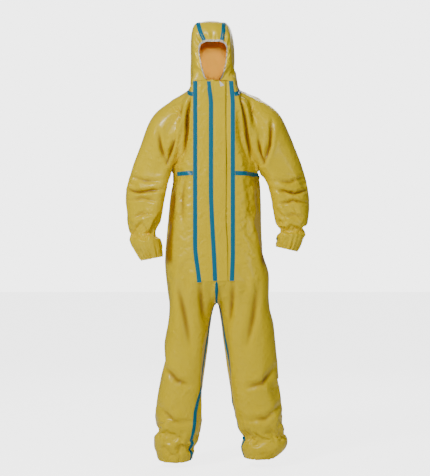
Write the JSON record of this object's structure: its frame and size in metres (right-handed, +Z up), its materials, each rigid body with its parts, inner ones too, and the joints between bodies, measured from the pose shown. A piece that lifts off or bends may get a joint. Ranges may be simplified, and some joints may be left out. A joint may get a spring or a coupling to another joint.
{
  "type": "chemical protective suit",
  "caption": "Hooded one-piece yellow coverall with blue taped seams, storm flap over a front zip, and elastic at face, wrists, waist and ankles.",
  "frame": {"origin": "where the wearer stands: on the floor line, midway between the trouser hems, in the middle of the suit's depth", "axes": "+Z up, -Y the way the wearer faces, +X to the wearer's left"},
  "size_m": [0.736, 0.2608, 1.7546],
  "materials": {
    "coated_fabric": "satin",
    "seam_tape": "satin",
    "elastic_edge": "matte",
    "zip_plastic": "satin",
    "liner": "matte"
  },
  "bodies": {
    "torso": {"centre_fly_tape": "seam_tape", "crotch_tape": "seam_tape", "inner_flap": "coated_fabric", "left_back_panel": "coated_fabric", "left_collar": "coated_fabric", "left_fly_tape": "seam_tape", "left_front_panel": "coated_fabric", "left_leg_hip": "coated_fabric", "left_placket": "coated_fabric", "left_sleeve_head": "coated_fabric", "left_waist_tape": "seam_tape", "neck_tape": "seam_tape", "right_back_panel": "coated_fabric", "right_collar": "coated_fabric", "right_fly_tape": "seam_tape", "right_front_panel": "coated_fabric", "right_leg_hip": "coated_fabric", "right_placket": "coated_fabric", "right_sleeve_head": "coated_fabric", "right_waist_tape": "seam_tape", "waist_elastic": "elastic_edge", "zip_bottom_stop": "zip_plastic", "zip_tape_left": "zip_plastic", "zip_tape_right": "zip_plastic", "zip_teeth_left": "zip_plastic", "zip_teeth_right": "zip_plastic"},
    "hood": {"hood_centre_strip": "coated_fabric", "left_hood_side": "coated_fabric", "right_hood_side": "coated_fabric", "left_hood_tape": "seam_tape", "right_hood_tape": "seam_tape", "face_elastic": "elastic_edge"},
    "storm_flap": {"storm_flap": "coated_fabric", "flap_adhesive": "liner", "release_liner": "liner"},
    "zip_slider": {"zip_slider": "zip_plastic"},
    "zip_pull": {"zip_pull": "zip_plastic"},
    "right_upper_sleeve": {"right_sleeve_upper": "coated_fabric", "right_sleeve_elbow": "coated_fabric"},
    "right_lower_sleeve": {"right_sleeve_lower": "coated_fabric", "right_sleeve_cuff": "elastic_edge", "right_underarm_tape": "seam_tape"},
    "right_thigh": {"right_leg_thigh": "coated_fabric", "right_leg_knee": "coated_fabric", "right_inseam_tape_thigh": "seam_tape"},
    "right_shin": {"right_leg_shin": "coated_fabric", "right_leg_ankle": "elastic_edge", "right_inseam_tape_shin": "seam_tape"},
    "left_upper_sleeve": {"left_sleeve_upper": "coated_fabric", "left_sleeve_elbow": "coated_fabric"},
    "left_lower_sleeve": {"left_sleeve_lower": "coated_fabric", "left_sleeve_cuff": "elastic_edge", "left_underarm_tape": "seam_tape"},
    "left_thigh": {"left_leg_thigh": "coated_fabric", "left_leg_knee": "coated_fabric", "left_inseam_tape_thigh": "seam_tape"},
    "left_shin": {"left_leg_shin": "coated_fabric", "left_leg_ankle": "elastic_edge", "left_inseam_tape_shin": "seam_tape"}
  },
  "joints": [
    {"name": "hood_tilt", "type": "hinge", "parent": "torso", "child": "hood", "pos_m": [-0.008, 0.01, 1.56], "axis": [-1, 0, 0], "range_deg": [-8, 25], "deforming": ["left_collar", "right_collar", "neck_tape"]},
    {"name": "storm_flap_open", "type": "hinge", "parent": "torso", "child": "storm_flap", "pos_m": [-0.0069, -0.125, 0.744], "axis": [0, -0.042, -0.9991], "range_deg": [0, 130]},
    {"name": "zip_slide", "type": "slide", "parent": "torso", "child": "zip_slider", "axis": [0, -0.042, -0.9991], "range_m": [0, 0.68]},
    {"name": "zip_pull_swing", "type": "hinge", "parent": "zip_slider", "child": "zip_pull", "pos_m": [0.02, -0.0845, 1.4975], "axis": [-1, 0, 0], "range_deg": [0, 8]},
    {"name": "right_shoulder_raise", "type": "hinge", "parent": "torso", "child": "right_upper_sleeve", "pos_m": [-0.245, 0.003, 1.22], "axis": [0, 1, 0], "range_deg": [0, 45], "deforming": ["right_sleeve_head"]},
    {"name": "right_elbow_bend", "type": "hinge", "parent": "right_upper_sleeve", "child": "right_lower_sleeve", "pos_m": [-0.28, -0.003, 1.07], "axis": [-1, 0, 0], "range_deg": [0, 55], "deforming": ["right_sleeve_elbow"]},
    {"name": "right_hip_swing", "type": "hinge", "parent": "torso", "child": "right_thigh", "pos_m": [-0.1, 0.006, 0.655], "axis": [-1, 0, 0], "range_deg": [-10, 45], "deforming": ["right_leg_hip"]},
    {"name": "right_knee_bend", "type": "hinge", "parent": "right_thigh", "child": "right_shin", "pos_m": [-0.125, 0.006, 0.43], "axis": [1, 0, 0], "range_deg": [0, 70], "deforming": ["right_leg_knee"]},
    {"name": "left_shoulder_raise", "type": "hinge", "parent": "torso", "child": "left_upper_sleeve", "pos_m": [0.268, 0.003, 1.22], "axis": [0, -1, 0], "range_deg": [0, 45], "deforming": ["left_sleeve_head"]},
    {"name": "left_elbow_bend", "type": "hinge", "parent": "left_upper_sleeve", "child": "left_lower_sleeve", "pos_m": [0.308, -0.003, 1.07], "axis": [-1, 0, 0], "range_deg": [0, 55], "deforming": ["left_sleeve_elbow"]},
    {"name": "left_hip_swing", "type": "hinge", "parent": "torso", "child": "left_thigh", "pos_m": [0.12, 0.006, 0.655], "axis": [-1, 0, 0], "range_deg": [-10, 45], "deforming": ["left_leg_hip"]},
    {"name": "left_knee_bend", "type": "hinge", "parent": "left_thigh", "child": "left_shin", "pos_m": [0.15, 0.006, 0.43], "axis": [1, 0, 0], "range_deg": [0, 70], "deforming": ["left_leg_knee"]}
  ]
}
